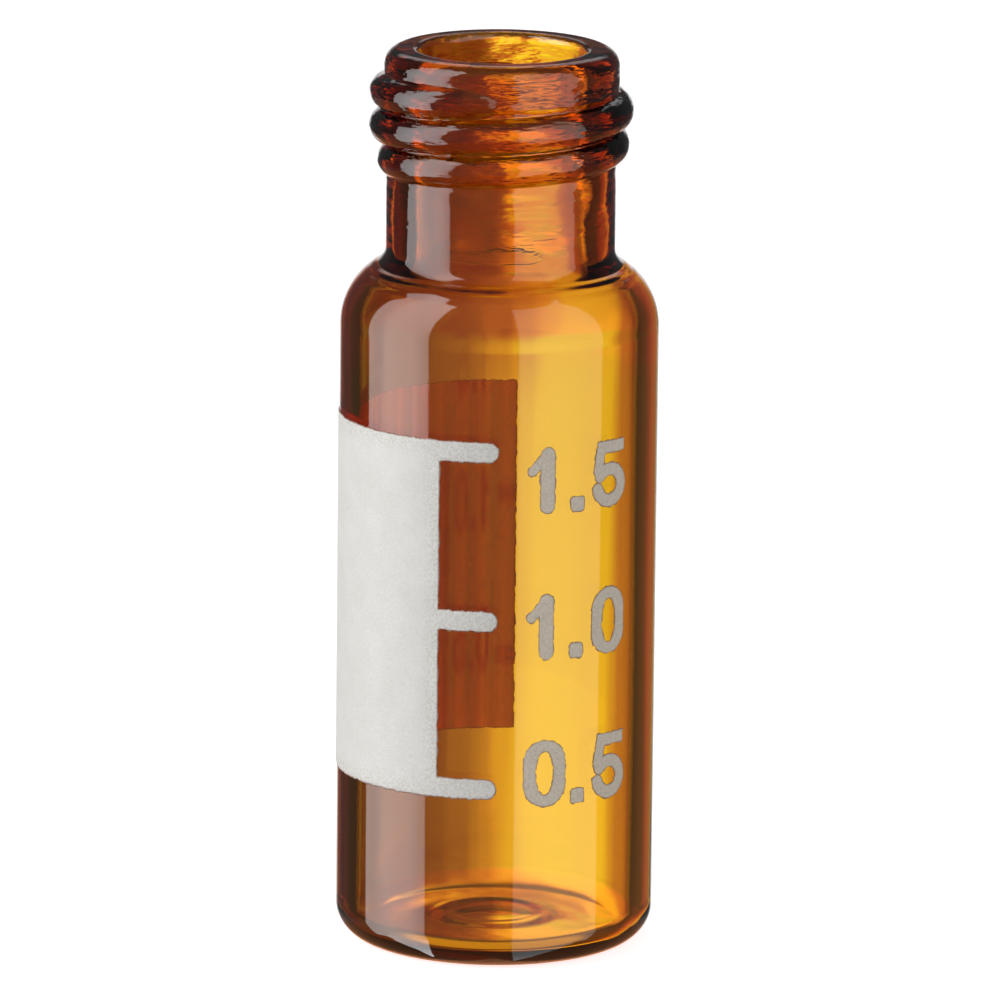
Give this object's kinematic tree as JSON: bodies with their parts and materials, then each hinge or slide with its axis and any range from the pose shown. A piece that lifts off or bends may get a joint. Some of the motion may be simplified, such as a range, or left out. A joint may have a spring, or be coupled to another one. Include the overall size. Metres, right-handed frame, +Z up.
{
  "type": "screw-neck glass sample vial",
  "caption": "Open amber glass sample vial with a screw-thread neck, rounded shoulder and heel, and a white enamel writing patch with a volume scale.",
  "frame": {"origin": "on the table under the centre of the base, on the vial's own axis", "axes": "+Z up along the vial's axis, out of its mouth; -Y to the front, where the marks of the volume scale end"},
  "size_m": [0.0114, 0.0114, 0.0325],
  "materials": {
    "amber_glass": "fire-polished amber glass, clear and glossy",
    "white_enamel": "matt screen-printed enamel, fired on, fine grain"
  },
  "bodies": {
    "root": {"glass_vial": "amber_glass", "marking_print": "white_enamel"}
  },
  "joints": []
}
